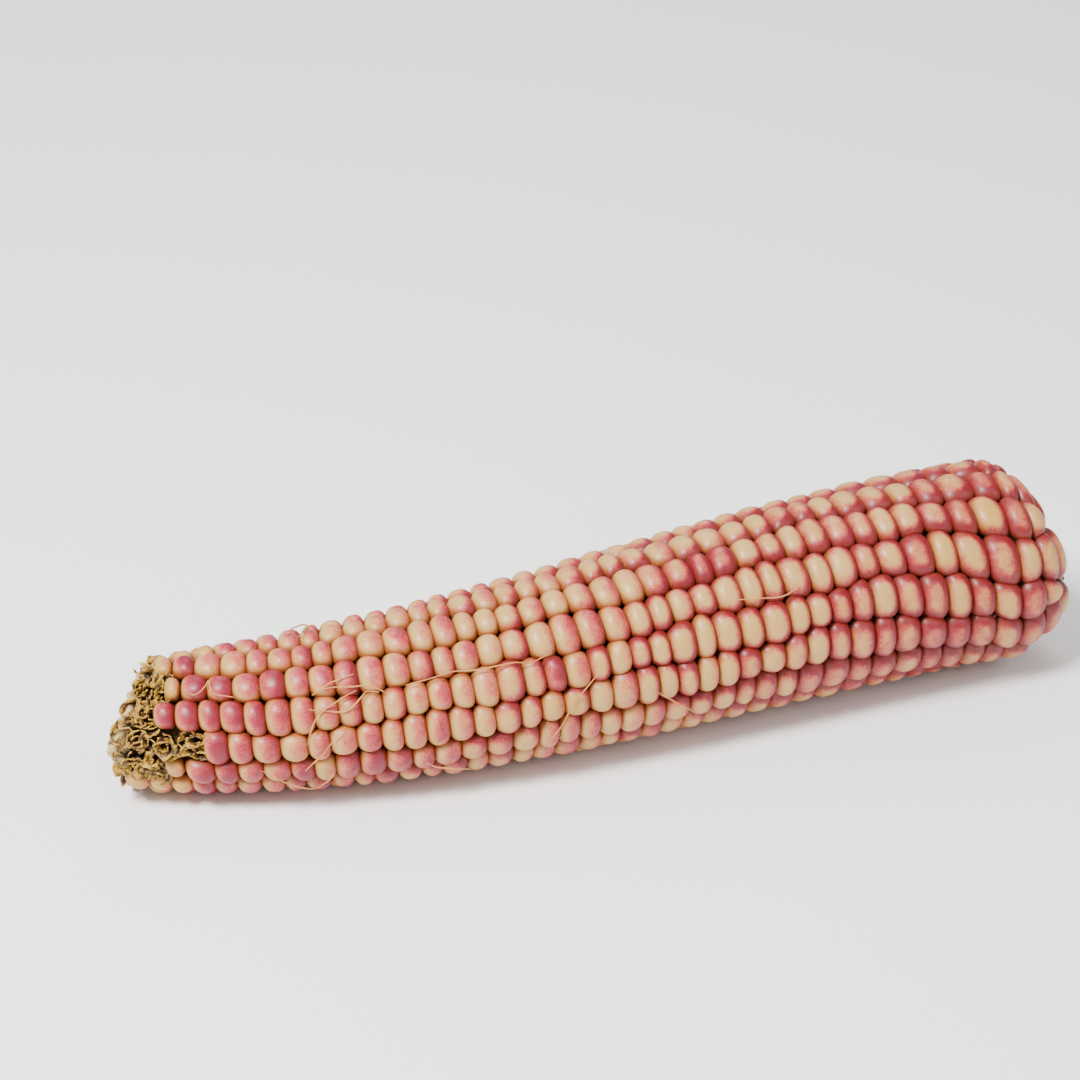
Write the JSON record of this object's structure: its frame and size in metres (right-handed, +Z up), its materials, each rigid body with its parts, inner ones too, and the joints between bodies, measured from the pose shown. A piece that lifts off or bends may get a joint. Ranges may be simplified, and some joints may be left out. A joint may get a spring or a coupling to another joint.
{
  "type": "ear of corn",
  "caption": "Ear of flint corn lying on its side: rows of rounded kernels round a cob that is bare at the tip and cut at the stalk end.",
  "frame": {"origin": "on the surface the ear lies on, under the middle of its box", "axes": "+X runs along the ear from its tip to its stalk end, +Z is up, and the ear bows a little towards -Y"},
  "size_m": [0.206, 0.0507, 0.0438],
  "materials": {
    "chaff": "matte, dry and papery",
    "seed_coat": "smooth glossy seed coat, cream flushed with rose"
  },
  "bodies": {
    "root": {"cob": "chaff", "kernels": "seed_coat"}
  },
  "joints": []
}
